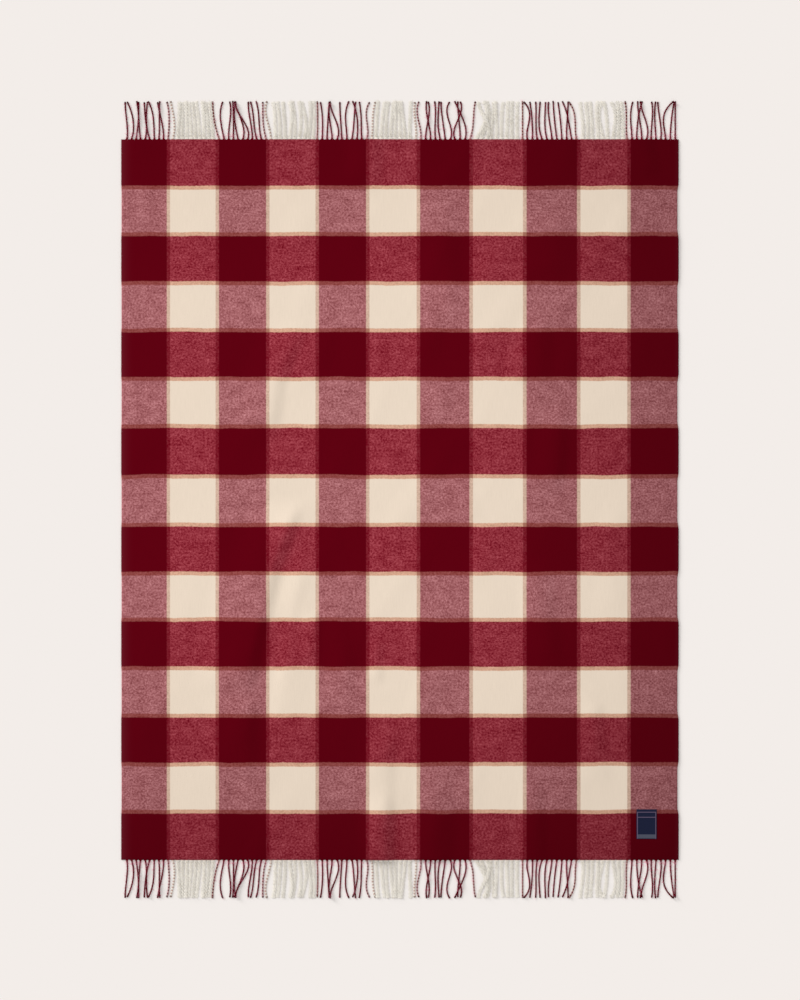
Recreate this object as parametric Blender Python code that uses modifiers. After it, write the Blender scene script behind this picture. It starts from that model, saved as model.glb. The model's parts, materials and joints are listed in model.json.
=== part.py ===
"""Checked wool throw, laid out flat with its soft folds: woven cloth, a fringe at each end, a sewn-on label.

Metres, +Z up. The throw lies on Z = 0, centred on the origin, with the warp and both fringes along Y.
"""

from math import cos, pi

import bmesh
import bpy
import numpy as np

MM = 0.001
CLEARANCE = 0.3 * MM  # between pieces that touch

# The cloth
WIDTH = 1300 * MM  # selvage to selvage
LENGTH = 1680 * MM  # along the warp, without the fringes
THICKNESS = 2.5 * MM  # brushed wool
# Widths in mm of the red and cream stripes in turn, from the left selvage and from the top end. A narrow tan
# band parts each stripe from the next.
WARP_STRIPES = (106, 106, 110, 107, 110, 110, 115, 117, 118, 109, 112)
WARP_BAND = 8
WEFT_STRIPES = (108, 99, 106, 100, 105, 101, 109, 103, 105, 98, 105, 101, 105, 101, 108)
WEFT_BAND = 9
COLUMNS_A_STRIPE = 5
ROWS_A_STRIPE = 2
# How far a selvage draws in beside a cream weft stripe
LEFT_DRAW = 1 * MM
RIGHT_DRAW = 3 * MM

# The folds: soft ridges that run roughly along Y, each with a steeper side. In mm: Y of the upper and lower
# end, X at the upper end, half way and at the lower end, reach to the left and to the right, and height.
FOLDS = (
    # upper, lower, x upper, x half, x lower, left, right, height
    (430, 110, -230, -294, -318, 100, 38, 3.8),  # the long fold on the left, its upper part
    (10, -330, -240, -305, -336, 140, 36, 6.2),  # its deepest part
    (-240, -470, -326, -350, -366, 140, 38, 5.2),  # below that
    (-420, -680, -362, -362, -366, 110, 45, 3.2),  # where it runs out
    (-40, -600, -205, -250, -290, 40, 90, 2.0),  # the swell beside it
    (-470, -960, -30, -40, -40, 70, 36, 2.4),  # to the bottom end, near the middle
    (-660, -1000, -40, -40, -42, 60, 34, 3.9),  # its deeper end
    (-600, -960, 84, 82, 78, 60, 60, 4.2),  # to the bottom end, right of it
    (225, -10, 368, 364, 350, 60, 36, 3.4),  # right of the middle
    (450, 240, 325, 322, 315, 60, 45, 2.4),  # above it
    (-120, -420, 318, 335, 352, 65, 45, 3.2),  # below it
    (960, 700, -80, -76, -72, 60, 45, 3.8),  # at the top end
    (760, 360, 95, 105, 110, 70, 50, 3.0),  # upper middle
)
FOLD_END = 0.3  # share of a fold's length over which each end dies out

# The fringes
FRINGE = 90 * MM  # from the cloth's end to the strands' tips
STRIP = 4 * MM  # depth of the strip that the strands are fused to
STRAND = 3.6 * MM  # width of a strand on the surface
STRAND_TOP = 2.2 * MM  # width across its top
STRAND_HEIGHT = 3.0 * MM
ROOT = 6.0 * MM  # a strand gathers from this width
APART = 0.6 * MM  # least gap between neighbours
STATIONS = (1 / 3, 2 / 3, 1.0)  # shares of a strand's length, one for each of its leans
# The strands of each warp stripe in turn, all in mm: where its first and last strands leave the cloth, from
# the left selvage, and how far each strand leans to the right of its root at a third and two thirds of its
# length and at its tip.
STRANDS = (
    # first, last, a third, two thirds, tip
    (13, 120, (1, 5, 4, -3, 3, -7, -1, 1, -2, 2, 4),
     (-2, 1, 6, -5, 3, -11, -4, 1, -8, 2, 1),
     (-4, -10, 6, -9, 6, -13, -14, 2, -14, -3, -5)),
    (132, 214, (1, 0, 0, -1, -1, -2, -1, -1, -2),
     (3, 0, -1, -4, -4, -5, -2, -4, -5),
     (4, 1, -2, -6, -7, -9, -4, -7, -8)),
    (229, 349, (-9, -6, 1, 0, -6, 1, -2, -2, -6, -5, -6, -5),
     (-14, -9, 4, 0, -9, -9, -19, -7, -9, -7, -8, -12),
     (-16, -3, 2, -2, -6, -20, -27, -9, -15, -13, -8, -9)),
    (360, 447, (-1, -2, -1, 0, -2, 0, -2, 1, 0),
     (-3, -5, -4, -1, -5, -1, -5, 3, 0),
     (-6, -9, -7, -2, -8, -2, -8, 5, 0)),
    (457, 584, (1, 1, 1, -3, 2, -2, -2, 4, 2, -1, 2, 2),
     (1, 0, 3, -7, -9, -4, -3, 6, -1, -2, -1, 3),
     (0, -4, 5, -5, -16, -5, 5, 9, -10, -6, 7, 9)),
    (594, 673, (1, 2, 1, 1, 0, -1, -2, 0),
     (3, 5, 3, 4, 0, -3, -6, 1),
     (4, 9, 6, 7, -1, -5, -10, 2)),
    (687, 813, (0, -2, 3, -3, -1, -5, -4, 1, 0, -1, 1, 7),
     (-3, -8, 8, -9, 0, -5, -8, -7, 12, -4, -10, 9),
     (-2, -4, 6, -9, -2, -3, -10, -1, 12, -5, -24, 13)),
    (826, 923, (3, 2, 1, 1, 1, 1, 0, 0, 0),
     (8, 5, 4, 4, 3, 2, -1, 0, -1),
     (13, 9, 7, 7, 4, 4, -1, 1, -2)),
    (936, 1062, (0, 1, 0, -3, -7, -5, -4, -4, -2, 0, -5, -3),
     (0, 5, -2, -3, -7, -5, -8, -7, -5, 2, -11, -5),
     (0, -9, -6, -4, -5, -4, -8, -9, -9, 3, -22, -18)),
    (1075, 1171, (0, -1, -2, -1, 0, -2, -1, -1, -1),
     (0, -3, -5, -3, -1, -5, -4, -2, -2),
     (0, -5, -8, -5, -1, -9, -6, -3, -3)),
    (1180, 1292, (-2, -2, 1, -2, 2, 1, -2, 0, -4, 1, 0),
     (-2, -3, 5, -7, -7, 3, -3, -4, -3, 4, 0),
     (-5, 2, 13, -9, -14, 1, -1, -7, 19, 9, 0)),
)

# The label, sewn flat near the lower right corner
LABEL_SIZE = (47 * MM, 69 * MM, 0.8 * MM)
LABEL_CENTRE = (575 * MM, -756.5 * MM)
LABEL_EDGE = 0.2 * MM  # rounding of its top edge

RED = (0.10, 0.001, 0.006, 1.0)
CRIMSON = (0.27, 0.030, 0.044, 1.0)  # red weft over cream warp
MAUVE = (0.35, 0.12, 0.13, 1.0)  # cream weft over red warp
CREAM = (0.80, 0.67, 0.55, 1.0)
NAVY = (0.012, 0.014, 0.03, 1.0)


def fabric(name, colour):
    """A matt cloth material."""
    material = bpy.data.materials.new(name)
    material.use_nodes = True
    shader = material.node_tree.nodes["Principled BSDF"]
    shader.inputs["Base Color"].default_value = colour
    shader.inputs["Roughness"].default_value = 0.9
    shader.inputs["Metallic"].default_value = 0.0
    return material


def stripe_ends(stripes, band):
    """Distances in metres of the stripes' borders, each half way through a tan band, from the first edge."""
    widths = [stripe + band for stripe in stripes]
    widths[0] -= band / 2
    widths[-1] -= band / 2
    return np.concatenate([[0], np.cumsum(widths)]) * MM


def grid_lines(ends, cells):
    """Each stripe cut into equal cells."""
    steps = np.linspace(0, len(ends) - 1, (len(ends) - 1) * cells + 1)
    return np.interp(steps, np.arange(len(ends)), ends)


def fold_height(x, y):
    """How far the folds lift the cloth's underside at a point. It is nought between folds."""
    lift = 0.0
    for upper, lower, x_upper, x_half, x_lower, left, right, height in FOLDS:
        along = (upper - y / MM) / (upper - lower)
        if not 0 < along < 1:
            continue
        across = x / MM - np.interp(along, (0, 0.5, 1), (x_upper, x_half, x_lower))
        reach = right if across > 0 else left
        if abs(across) < reach:
            fade = min(along, 1 - along, FOLD_END) / FOLD_END
            lift += height * MM * (1 - cos(pi * fade)) / 2 * (1 + cos(pi * across / reach)) / 2
    return lift


def make_cloth(materials):
    """The woven sheet: a grid on the stripes' lines, raised along the folds and given its thickness."""
    warp_ends = stripe_ends(WARP_STRIPES, WARP_BAND)
    weft_ends = stripe_ends(WEFT_STRIPES, WEFT_BAND)
    across = grid_lines(warp_ends, COLUMNS_A_STRIPE)
    down = grid_lines(weft_ends, ROWS_A_STRIPE)
    columns, rows = len(across) - 1, len(down) - 1
    bpy.ops.mesh.primitive_grid_add(x_subdivisions=columns, y_subdivisions=rows, size=1)
    cloth = bpy.context.object
    cloth.name = cloth.data.name = "cloth"
    for vertex in cloth.data.vertices:
        column = round((0.5 + vertex.co.x) * columns)
        row = round((0.5 - vertex.co.y) * rows)
        x = across[column] - WIDTH / 2
        y = LENGTH / 2 - down[row]
        cream = 1 - abs((row / ROWS_A_STRIPE - 0.5) % 2 - 1) if 0 < row < rows else 0
        if column == 0:
            x += LEFT_DRAW * cream
        if column == columns:
            x -= RIGHT_DRAW * cream
        vertex.co = (x, y, fold_height(x, y))
    for material in materials:
        cloth.data.materials.append(material)
    for face in cloth.data.polygons:
        warp = np.searchsorted(warp_ends, face.center.x + WIDTH / 2) - 1
        weft = np.searchsorted(weft_ends, LENGTH / 2 - face.center.y) - 1
        face.material_index = int(warp % 2 + 2 * (weft % 2))
    wool = cloth.modifiers.new("wool", "SOLIDIFY")
    wool.thickness = THICKNESS
    wool.offset = 1
    return cloth


def strand_places():
    """Every strand's stripe, its root's X and its X at each station, kept apart by sideways pushes."""
    stripes, roots, rings = [], [], [[] for _ in STATIONS]
    for stripe, (first, last, *leans) in enumerate(STRANDS):
        for root, *strand_leans in zip(np.linspace(first, last, len(leans[0])), *leans):
            stripes.append(stripe)
            roots.append(root * MM - WIDTH / 2)
            for ring, lean in zip(rings, strand_leans):
                ring.append(roots[-1] + lean * MM)
    least = STRAND + APART
    for ring in rings:
        for _ in range(200):
            for i in range(len(ring) - 1):
                short = least - (ring[i + 1] - ring[i])
                if short > 0:
                    ring[i] -= short / 2
                    ring[i + 1] += short / 2
    return stripes, roots, rings


def make_fringe(name, end, materials):
    """The strip beside the cloth's end, end being 1 at the top and -1 at the bottom, and the strands extruded
    from the faces along its outer side."""
    stripes, roots, rings = strand_places()
    lines = [-WIDTH / 2]
    for root in roots:
        lines += [root - ROOT / 2, root + ROOT / 2]
    lines.append(WIDTH / 2)
    inner = LENGTH / 2 + CLEARANCE
    bm = bmesh.new()
    bmesh.ops.create_grid(bm, x_segments=len(lines) - 1, y_segments=1, size=0.5)
    for vertex in bm.verts:
        x = lines[round((vertex.co.x + 0.5) * (len(lines) - 1))]
        y = end * (inner + STRIP if vertex.co.y > 0 else inner)
        vertex.co = (x, y, fold_height(x, end * LENGTH / 2))
    raised = bmesh.ops.extrude_face_region(bm, geom=bm.faces[:])["geom"]
    for vertex in (item for item in raised if isinstance(item, bmesh.types.BMVert)):
        vertex.co.z += THICKNESS
    bmesh.ops.recalc_face_normals(bm, faces=bm.faces)

    def outer(face):
        return abs(face.normal.y) > 0.9 and abs(face.calc_center_median().y) > inner + STRIP / 2

    ends = sorted(filter(outer, bm.faces), key=lambda face: face.calc_center_median().x)[1::2]
    for face, stripe in zip(ends, stripes):
        face.material_index = stripe % 2
    for share, ring in zip(STATIONS, rings):
        ends = bmesh.ops.extrude_discrete_faces(bm, faces=ends)["faces"]
        ends.sort(key=lambda face: face.calc_center_median().x)
        y = end * (inner + STRIP + (FRINGE - STRIP - CLEARANCE) * share)
        for face, x in zip(ends, ring):
            middle = face.calc_center_median()
            for vertex in face.verts:
                low = vertex.co.z < middle.z
                width = STRAND if low else STRAND_TOP
                side = 1 if vertex.co.x > middle.x else -1
                vertex.co = (x + side * width / 2, y, 0 if low else STRAND_HEIGHT)
    bmesh.ops.recalc_face_normals(bm, faces=bm.faces)
    mesh = bpy.data.meshes.new(name)
    bm.to_mesh(mesh)
    bm.free()
    for material in materials:
        mesh.materials.append(material)
    fringe = bpy.data.objects.new(name, mesh)
    bpy.context.collection.objects.link(fringe)
    return fringe


def make_label(material):
    """A flat woven label lying on the cloth."""
    bpy.ops.mesh.primitive_cube_add(size=1)
    label = bpy.context.object
    label.name = label.data.name = "label"
    for vertex in label.data.vertices:
        vertex.co = [c * size for c, size in zip(vertex.co, LABEL_SIZE)]
    label.location = (*LABEL_CENTRE, THICKNESS + CLEARANCE + LABEL_SIZE[2] / 2)
    edge = label.modifiers.new("edge", "BEVEL")
    edge.width = LABEL_EDGE
    edge.segments = 1
    label.data.materials.append(material)
    return label


def main():
    for old in list(bpy.data.objects):
        bpy.data.objects.remove(old)
    red, crimson, mauve, cream = (
        fabric(name, colour)
        for name, colour in (("red wool", RED), ("crimson", CRIMSON), ("mauve", MAUVE), ("cream", CREAM))
    )
    pieces = [
        make_cloth([red, crimson, mauve, cream]),
        make_fringe("fringe_top", 1, [red, cream]),
        make_fringe("fringe_bottom", -1, [red, cream]),
        make_label(fabric("navy label", NAVY)),
    ]
    throw = bpy.data.collections.new("wool_throw")
    bpy.context.scene.collection.children.link(throw)
    for piece in pieces:
        for home in list(piece.users_collection):
            home.objects.unlink(piece)
        throw.objects.link(piece)


main()
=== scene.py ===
# %% [markdown]
# # A checked wool throw, laid flat
#
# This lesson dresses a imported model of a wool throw: one woven cloth with a red and cream check, a twisted
# fringe at both ends and a small sewn-on label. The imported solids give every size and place. The cloth,
# yarns, label and stitches that show are made here, each as a mesh with its own procedural material.

# %% Load the frame
import json
from math import cos, pi, radians, sin

import bpy
import numpy as np
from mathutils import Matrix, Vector

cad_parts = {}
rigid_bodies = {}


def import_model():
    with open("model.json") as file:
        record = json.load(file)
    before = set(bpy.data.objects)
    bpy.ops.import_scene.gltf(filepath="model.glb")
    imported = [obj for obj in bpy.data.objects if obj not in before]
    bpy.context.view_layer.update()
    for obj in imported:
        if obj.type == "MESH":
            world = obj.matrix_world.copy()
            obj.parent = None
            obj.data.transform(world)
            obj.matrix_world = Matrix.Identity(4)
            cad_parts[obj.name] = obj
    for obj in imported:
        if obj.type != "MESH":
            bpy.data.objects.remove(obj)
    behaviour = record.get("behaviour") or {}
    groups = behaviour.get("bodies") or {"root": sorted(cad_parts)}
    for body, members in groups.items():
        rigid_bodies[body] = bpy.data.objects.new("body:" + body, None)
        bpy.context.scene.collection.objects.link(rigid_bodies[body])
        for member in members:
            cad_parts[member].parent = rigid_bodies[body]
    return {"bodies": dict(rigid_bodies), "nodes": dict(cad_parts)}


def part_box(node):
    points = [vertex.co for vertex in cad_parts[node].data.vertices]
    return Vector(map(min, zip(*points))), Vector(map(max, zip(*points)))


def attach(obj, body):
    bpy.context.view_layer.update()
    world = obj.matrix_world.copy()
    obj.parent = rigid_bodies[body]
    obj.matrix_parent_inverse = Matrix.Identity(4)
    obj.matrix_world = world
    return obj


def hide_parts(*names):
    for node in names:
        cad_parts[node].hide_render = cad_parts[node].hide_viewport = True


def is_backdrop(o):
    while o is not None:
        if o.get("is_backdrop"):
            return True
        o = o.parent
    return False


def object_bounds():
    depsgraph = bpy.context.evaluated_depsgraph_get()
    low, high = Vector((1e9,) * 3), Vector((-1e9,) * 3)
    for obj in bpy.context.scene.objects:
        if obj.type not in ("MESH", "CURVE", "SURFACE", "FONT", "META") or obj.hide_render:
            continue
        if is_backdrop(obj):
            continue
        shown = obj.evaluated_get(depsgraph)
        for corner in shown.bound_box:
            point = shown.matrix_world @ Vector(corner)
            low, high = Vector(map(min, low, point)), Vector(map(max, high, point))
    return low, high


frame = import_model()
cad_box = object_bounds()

MM = 0.001
BODY = next(iter(frame["bodies"]))
print("body:", BODY, "nodes:", sorted(frame["nodes"]))

# %% [markdown]
# ## Sizes and stripes
#
# The cloth's width and length come from its solid. A check is two rows of stripes laid across each other:
# warp stripes, counted from the left selvage, and weft stripes, counted from the top end. Red and cream take
# turns, and a narrow tan band parts each stripe from the next. The stripes aren't quite equal, because the
# cloth shrank unevenly when it was fulled, so each keeps its own width.

# %% Sizes and stripes
cloth_low, cloth_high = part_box("cloth")
WIDTH = round(cloth_high[0] - cloth_low[0], 4)
LENGTH = round(cloth_high[1] - cloth_low[1], 4)
THICKNESS = 2.5 * MM
WARP_STRIPES = (106, 106, 110, 107, 110, 110, 115, 117, 118, 109, 112)  # mm
WARP_BAND = 8
WEFT_STRIPES = (108, 99, 106, 100, 105, 101, 109, 103, 105, 98, 105, 101, 105, 101, 108)
WEFT_BAND = 9


def stripe_ends(stripes, band):
    """Distances in metres of the stripes' borders, each half way through a tan band, from the first edge."""
    widths = [stripe + band for stripe in stripes]
    widths[0] -= band / 2
    widths[-1] -= band / 2
    return np.concatenate([[0], np.cumsum(widths)]) * MM


WARP_ENDS = stripe_ends(WARP_STRIPES, WARP_BAND)
WEFT_ENDS = stripe_ends(WEFT_STRIPES, WEFT_BAND)
print(f"cloth {WIDTH:.3f} x {LENGTH:.3f} m, stripes end at {WARP_ENDS[-1]:.3f} and {WEFT_ENDS[-1]:.3f} m")

# %% [markdown]
# ## Camera
#
# A flat lay is photographed from straight above. A long lens high over the throw keeps its edges parallel.
# The throw's width in the picture sets the height of the camera.

# %% Camera
PHOTO_WIDTH, PHOTO_HEIGHT = 800, 1000  # pixels
PHOTO_LEFT, PHOTO_RIGHT = 121.3, 678.6  # the two selvages
PHOTO_MIDDLE = 499.65  # half way between the cloth's ends
LENS = 100  # mm
SENSOR = 36  # mm, along the picture's longer side

pixel = WIDTH / (PHOTO_RIGHT - PHOTO_LEFT)
camera_data = bpy.data.cameras.new("camera")
camera_data.lens = LENS
camera_data.sensor_width = SENSOR
camera = bpy.data.objects.new("camera", camera_data)
camera.location = (
    (PHOTO_WIDTH / 2 - (PHOTO_LEFT + PHOTO_RIGHT) / 2) * pixel,
    (PHOTO_MIDDLE - PHOTO_HEIGHT / 2) * pixel,
    PHOTO_HEIGHT * pixel * LENS / SENSOR,
)
scene = bpy.context.scene
scene.collection.objects.link(camera)
scene.camera = camera
print(f"one pixel is {pixel / MM:.3f} mm, the camera is {camera.location.z:.2f} m up")

# %% [markdown]
# ## Floor and light
#
# The throw lies on a plain pale floor, and most of the light is an even sky. A weaker soft lamp, low and far
# off to the upper left, draws the folds and leaves a faint soft shadow along the right and lower edges. It
# is so far off that it lights the whole floor evenly, as a sun lamp does.

# %% Floor and light
FLOOR_COLOUR = (0.896, 0.847, 0.815)
FLOOR_SIZE = 60  # m, so that its edge stays out of low views
SKY = 0.75  # brightness of a white surface under the sky alone
LAMP = 0.25  # and under the lamp alone
LAMP_SIDE, LAMP_RISE = 140, 15  # degrees: round from +X, and above the floor
LAMP_SPREAD = 18  # degrees, how wide the lamp looks from the throw
LAMP_PLACE = 5  # m, where it is drawn; a sun lamp lights the same from any distance

scene.view_settings.view_transform = "Standard"
world = bpy.data.worlds.new("studio")
scene.world = world
world.use_nodes = True
world.node_tree.nodes["Background"].inputs["Color"].default_value = (1, 1, 1, 1)
world.node_tree.nodes["Background"].inputs["Strength"].default_value = SKY

side, rise = radians(LAMP_SIDE), radians(LAMP_RISE)
lamp_data = bpy.data.lights.new("key lamp", "SUN")
lamp_data.angle = radians(LAMP_SPREAD)
lamp_data.energy = LAMP * pi / sin(rise)
lamp = bpy.data.objects.new("key lamp", lamp_data)
lamp.location = LAMP_PLACE * Vector((cos(side) * cos(rise), sin(side) * cos(rise), sin(rise)))
lamp.rotation_euler = lamp.location.to_track_quat("Z", "Y").to_euler()
scene.collection.objects.link(lamp)

bpy.ops.object.select_all(action="DESELECT")
bpy.ops.mesh.primitive_plane_add(size=FLOOR_SIZE)
floor = bpy.context.object
floor.name = "floor"
paper = bpy.data.materials.new("pale floor")
paper.use_nodes = True
paper_shader = paper.node_tree.nodes["Principled BSDF"]
paper_shader.inputs["Base Color"].default_value = (*FLOOR_COLOUR, 1)
paper_shader.inputs["Roughness"].default_value = 1
paper_shader.inputs["Specular IOR Level"].default_value = 0
floor.data.materials.append(paper)
floor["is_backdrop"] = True
print("lamp at", [round(place, 2) for place in lamp.location])

# %% [markdown]
# ## How the throw lies
#
# A heavy wool throw lies almost flat. A few long soft folds are left where it was spread, each a low ridge
# with one steeper side. A ridge is set by its two ends, where it runs, its reach to both sides and its
# height. The solid has the main folds. The slighter creases and a faint unevenness all over are added here.

# %% Folds
FOLDS = (
    # upper, lower, x upper, x half, x lower, left, right, height, all in mm
    (430, 110, -230, -294, -318, 100, 38, 3.8),  # the long fold on the left, its upper part
    (10, -330, -240, -305, -336, 140, 36, 6.2),  # its deepest part
    (-240, -470, -326, -350, -366, 140, 38, 5.2),  # below that
    (-420, -680, -362, -362, -366, 110, 45, 3.2),  # where it runs out
    (-40, -600, -205, -250, -290, 40, 90, 2.0),  # the swell beside it
    (-470, -960, -30, -40, -40, 70, 36, 2.4),  # to the bottom end, near the middle
    (-660, -1000, -40, -40, -42, 60, 34, 3.9),  # its deeper end
    (-600, -960, 84, 82, 78, 60, 60, 4.2),  # to the bottom end, right of it
    (225, -10, 368, 364, 350, 60, 36, 3.4),  # right of the middle
    (450, 240, 325, 322, 315, 60, 45, 2.4),  # above it
    (-120, -420, 318, 335, 352, 65, 45, 3.2),  # below it
    (960, 700, -80, -76, -72, 60, 45, 3.8),  # at the top end
    (760, 360, 95, 105, 110, 70, 50, 3.0),  # upper middle
)
CREASES = (
    # as above
    (360, 260, 276, 280, 284, 42, 26, 1.6),
    (-620, -900, 312, 317, 320, 45, 32, 2.0),
    (680, 500, 345, 354, 362, 90, 60, 2.2),
    (900, 740, 558, 572, 590, 50, 32, 2.2),
    (-160, -540, -158, -140, -116, 60, 40, 1.8),
    (-250, -400, -200, -205, -210, 36, 22, 2.0),
    (-310, -440, -54, -54, -52, 32, 22, 1.8),
    (-460, -600, 450, 455, 460, 42, 28, 1.5),
    (-420, -700, 430, 452, 470, 60, 45, 1.6),
    (90, -60, 130, 150, 176, 50, 34, 1.2),
)
FOLD_END = 0.3  # share of a fold's length over which each end dies out
RIPPLES = 16
RIPPLE_LENGTHS = (90, 260)  # mm
RIPPLE_TURN = 0.9  # radians off a straight run along Y, at most
RIPPLE_HEIGHT = 0.5 * MM
RIPPLE_PRESS = 0.5  # how softly the hollows are pressed flat
RIPPLE_SEED = 11


def ridge_lift(ridges, x, y):
    """How far a table's ridges lift the cloth at points given in metres."""
    total = np.zeros(np.broadcast(x, y).shape)
    for upper, lower, x_upper, x_half, x_lower, left, right, height in ridges:
        along = (upper - y / MM) / (upper - lower)
        across = x / MM - np.interp(along, (0, 0.5, 1), (x_upper, x_half, x_lower))
        reach = np.where(across > 0, right, left)
        fade = np.clip(np.minimum(along, 1 - along) / FOLD_END, 0, 1)
        ridge = np.where(abs(across) < reach, (1 + np.cos(pi * across / reach)) / 2, 0)
        total += height * MM * (1 - np.cos(pi * fade)) / 2 * ridge
    return total


def ripple_lift(x, y):
    """A faint unevenness: long waves of many directions added up, with their hollows pressed flat."""
    chance = np.random.default_rng(RIPPLE_SEED)
    total = np.zeros(np.broadcast(x, y).shape)
    for _ in range(RIPPLES):
        length = chance.uniform(*RIPPLE_LENGTHS) * MM
        turn = chance.uniform(-RIPPLE_TURN, RIPPLE_TURN)
        total += np.sin(2 * pi * (x * cos(turn) + y * sin(turn)) / length + chance.uniform(0, 2 * pi))
    total /= np.sqrt(RIPPLES / 2)
    return RIPPLE_HEIGHT * (total + np.sqrt(total**2 + RIPPLE_PRESS)) / 2


def cloth_lift(x, y):
    """Height of the cloth's underside over the floor."""
    return ridge_lift(FOLDS + CREASES, x, y) + ripple_lift(x, y)


survey = cloth_lift(*np.mgrid[-WIDTH / 2 : WIDTH / 2 : 200j, -LENGTH / 2 : LENGTH / 2 : 260j]) / MM
print(f"the cloth's underside is {survey.mean():.2f} mm off the floor on average, {survey.max():.1f} at most")

# %% [markdown]
# ## The cloth's mesh
#
# The cloth is a sheet, so it starts as a grid. Its points are set on even lines, closer together along the
# edges, and lifted by the folds. A selvage draws in a little beside each cream stripe, where the weft was
# pulled tighter. Solidify then gives the thickness, less at the selvages, so that they look rounded. A UV
# map keeps each point's place on the flat cloth, because the pattern is woven in and follows the folds.

# %% Helpers for sheets
def lines_across(length, cells, rim):
    """Grid lines over a length, centred on 0: the rim's at both ends and even ones between."""
    rim = np.array(rim) * MM
    even = np.linspace(rim[-1], length - rim[-1], cells + 1)
    return np.concatenate([rim[:-1], even, length - rim[-2::-1]]) - length / 2


def new_sheet(name, x_lines, y_lines):
    """A grid with those lines, and the X and Y of its points as two arrays."""
    bpy.ops.object.select_all(action="DESELECT")
    columns, rows = len(x_lines) - 1, len(y_lines) - 1
    bpy.ops.mesh.primitive_grid_add(x_subdivisions=columns, y_subdivisions=rows, size=1)
    sheet = bpy.context.object
    sheet.name = sheet.data.name = name
    flat = np.empty(len(sheet.data.vertices) * 3)
    sheet.data.vertices.foreach_get("co", flat)
    column, row = np.rint((flat.reshape(-1, 3)[:, :2] + 0.5) * (columns, rows)).astype(int).T
    return sheet, x_lines[column], y_lines[row]


def set_points(mesh, x, y, z):
    """Writes the vertices' places."""
    mesh.vertices.foreach_set("co", np.stack([x, y, z], axis=1).ravel())
    mesh.update()


def set_flat_map(mesh, u, v):
    """Writes the UV map from one pair of values a vertex."""
    corners = np.empty(len(mesh.loops), dtype=np.int32)
    mesh.loops.foreach_get("vertex_index", corners)
    mesh.uv_layers[0].data.foreach_set("uv", np.stack([u[corners], v[corners]], axis=1).ravel())


def thicken(sheet, thickness, shares):
    """Solidify, upwards from the underside, with a share of the thickness at each vertex."""
    group = sheet.vertex_groups.new(name="thickness")
    for share in np.unique(shares):
        group.add([int(i) for i in np.flatnonzero(shares == share)], float(share), "REPLACE")
    solid = sheet.modifiers.new("thickness", "SOLIDIFY")
    solid.thickness = thickness
    solid.offset = 1
    solid.vertex_group = group.name
    bpy.ops.object.modifier_apply(modifier=solid.name)
    bpy.ops.object.shade_smooth()


# %% The cloth's mesh
CELLS_ACROSS, CELLS_ALONG = 184, 238
RIM = (0, 1.2, 3, 6)  # mm from an edge, the grid lines that round it
SELVAGE_SHARES = (0.7, 0.92, 1, 1)  # of the thickness, on those lines from a selvage
END_SHARES = (0.6, 0.82, 0.94, 1)  # and from an end, which runs on into the fringe
LEFT_DRAW, RIGHT_DRAW = 1 * MM, 3 * MM
DRAW_REACH = 80 * MM  # how far into the cloth a draw dies out
DRAW_STEEPNESS = 2.2  # how quickly it sets in at a stripe's border


def cream_share(distance, ends):
    """0 beside a red stripe and 1 beside a cream one, with a soft change at each border."""
    stripe = np.interp(distance, ends, np.arange(len(ends)))
    stripe = np.clip(stripe, 0.5, len(ends) - 1.5)
    return np.clip(0.5 - DRAW_STEEPNESS * np.sin(pi * stripe), 0, 1)


cloth, flat_x, flat_y = new_sheet(
    "checked_cloth",
    lines_across(WIDTH, CELLS_ACROSS, RIM),
    lines_across(LENGTH, CELLS_ALONG, RIM),
)
from_selvage = WIDTH / 2 - abs(flat_x)
from_end = LENGTH / 2 - abs(flat_y)
draw = cream_share(LENGTH / 2 - flat_y, WEFT_ENDS) * np.clip(1 - from_selvage / DRAW_REACH, 0, 1)
drawn_x = flat_x + draw * np.where(flat_x < 0, LEFT_DRAW, -RIGHT_DRAW)
set_points(cloth.data, drawn_x, flat_y, cloth_lift(flat_x, flat_y))
set_flat_map(cloth.data, flat_x / WIDTH + 0.5, flat_y / LENGTH + 0.5)
shares = np.interp(from_selvage / MM, RIM, SELVAGE_SHARES) * np.interp(from_end / MM, RIM, END_SHARES)
thicken(cloth, THICKNESS, np.round(shares, 2))
print("cloth:", len(cloth.data.polygons), "faces")

# %% [markdown]
# ## Helpers for materials
#
# A material is a graph of nodes. A few small helpers keep the graphs short to write: one adds a node and
# feeds its inputs, and others add a sum, a mix of two colours, soft noise, a relief or an empty group.

# %% Helpers for materials
WOOL_GLOSS = 0.02  # wool scatters nearly all light


def feed(tree, socket, value):
    """Wires a socket to another node's output, or sets it to a plain value."""
    if isinstance(value, bpy.types.NodeSocket):
        tree.links.new(value, socket)
    else:
        socket.default_value = value


def add_node(tree, kind, inputs=None, **settings):
    """Adds a shader node with its settings, and feeds its inputs by name."""
    node = tree.nodes.new("ShaderNode" + kind)
    for name, value in settings.items():
        setattr(node, name, value)
    for name, value in (inputs or {}).items():
        feed(tree, node.inputs[name], value)
    return node


def calculate(tree, operation, *values):
    """A Math node's result."""
    node = add_node(tree, "Math", operation=operation)
    for socket, value in zip(node.inputs, values):
        feed(tree, socket, value)
    return node.outputs[0]


def mix_colours(tree, share, first, second, blend="MIX"):
    """The first colour with a share of the second, or multiplied by it."""
    node = add_node(tree, "Mix", data_type="RGBA", blend_type=blend)
    for place, value in zip((0, 6, 7), (share, first, second)):
        feed(tree, node.inputs[place], value)
    return node.outputs[2]


def shaded(tree, colour, shade):
    """A colour multiplied by a shade."""
    return mix_colours(tree, 1.0, colour, shade, "MULTIPLY")


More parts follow.
